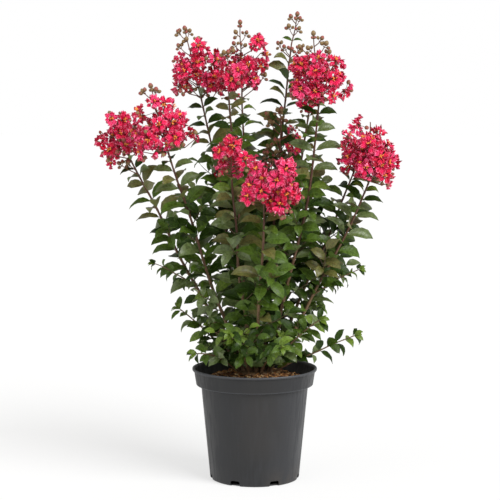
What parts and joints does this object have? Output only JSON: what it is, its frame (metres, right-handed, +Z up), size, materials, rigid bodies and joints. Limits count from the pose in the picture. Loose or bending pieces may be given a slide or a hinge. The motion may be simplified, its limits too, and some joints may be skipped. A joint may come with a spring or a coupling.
{
  "type": "potted crape myrtle",
  "caption": "Bushy flowering shrub of upright stems with small paired leaves and crinkled crimson flower heads, growing in a round tapered nursery pot with a collar.",
  "frame": {"origin": "centre of the pot's flat underside, on the ground plane", "axes": "+Z up the pot's axis to the top of the shrub, -Y the side seen in the picture, +X to the right of that view"},
  "size_m": [0.6012, 0.483, 0.937],
  "materials": {
    "pot": "plain moulded plastic, satin black-grey",
    "soil": "loose composted bark",
    "bark": "smooth young bark, red-brown",
    "leaf": "smooth dark green leaf, a little glossy",
    "blossom": "crinkled matt crimson petals, olive-brown buds"
  },
  "bodies": {
    "root": {"blossom_back": "blossom", "blossom_back_left": "blossom", "blossom_back_right": "blossom", "blossom_front": "blossom", "blossom_front_left": "blossom", "blossom_high_back": "blossom", "blossom_high_left": "blossom", "blossom_high_right": "blossom", "blossom_inner_right": "blossom", "blossom_left": "blossom", "blossom_low_right": "blossom", "blossom_middle": "blossom", "blossom_outer_left": "blossom", "blossom_outer_right": "blossom", "blossom_tallest": "blossom", "bough_back": "bark", "bough_back_left": "bark", "bough_back_right": "bark", "bough_front": "bark", "bough_front_left": "bark", "bough_high_back": "bark", "bough_high_left": "bark", "bough_high_right": "bark", "bough_inner_right": "bark", "bough_left": "bark", "bough_low_right": "bark", "bough_middle": "bark", "bough_outer_left": "bark", "bough_outer_right": "bark", "bough_tallest": "bark", "crown": "bark", "leaves_back": "leaf", "leaves_back_left": "leaf", "leaves_back_right": "leaf", "leaves_front": "leaf", "leaves_front_left": "leaf", "leaves_high_back": "leaf", "leaves_high_left": "leaf", "leaves_high_right": "leaf", "leaves_inner_right": "leaf", "leaves_left": "leaf", "leaves_low_right": "leaf", "leaves_middle": "leaf", "leaves_outer_left": "leaf", "leaves_outer_right": "leaf", "leaves_tallest": "leaf", "pot": "pot", "shoot_back_left": "leaf", "shoot_back_right": "leaf", "shoot_far_left": "leaf", "shoot_far_right": "leaf", "shoot_front_left": "leaf", "shoot_front_right": "leaf", "shoot_left": "leaf", "shoot_near_left": "leaf", "shoot_near_right": "leaf", "shoot_right": "leaf", "soil": "soil"}
  },
  "joints": []
}
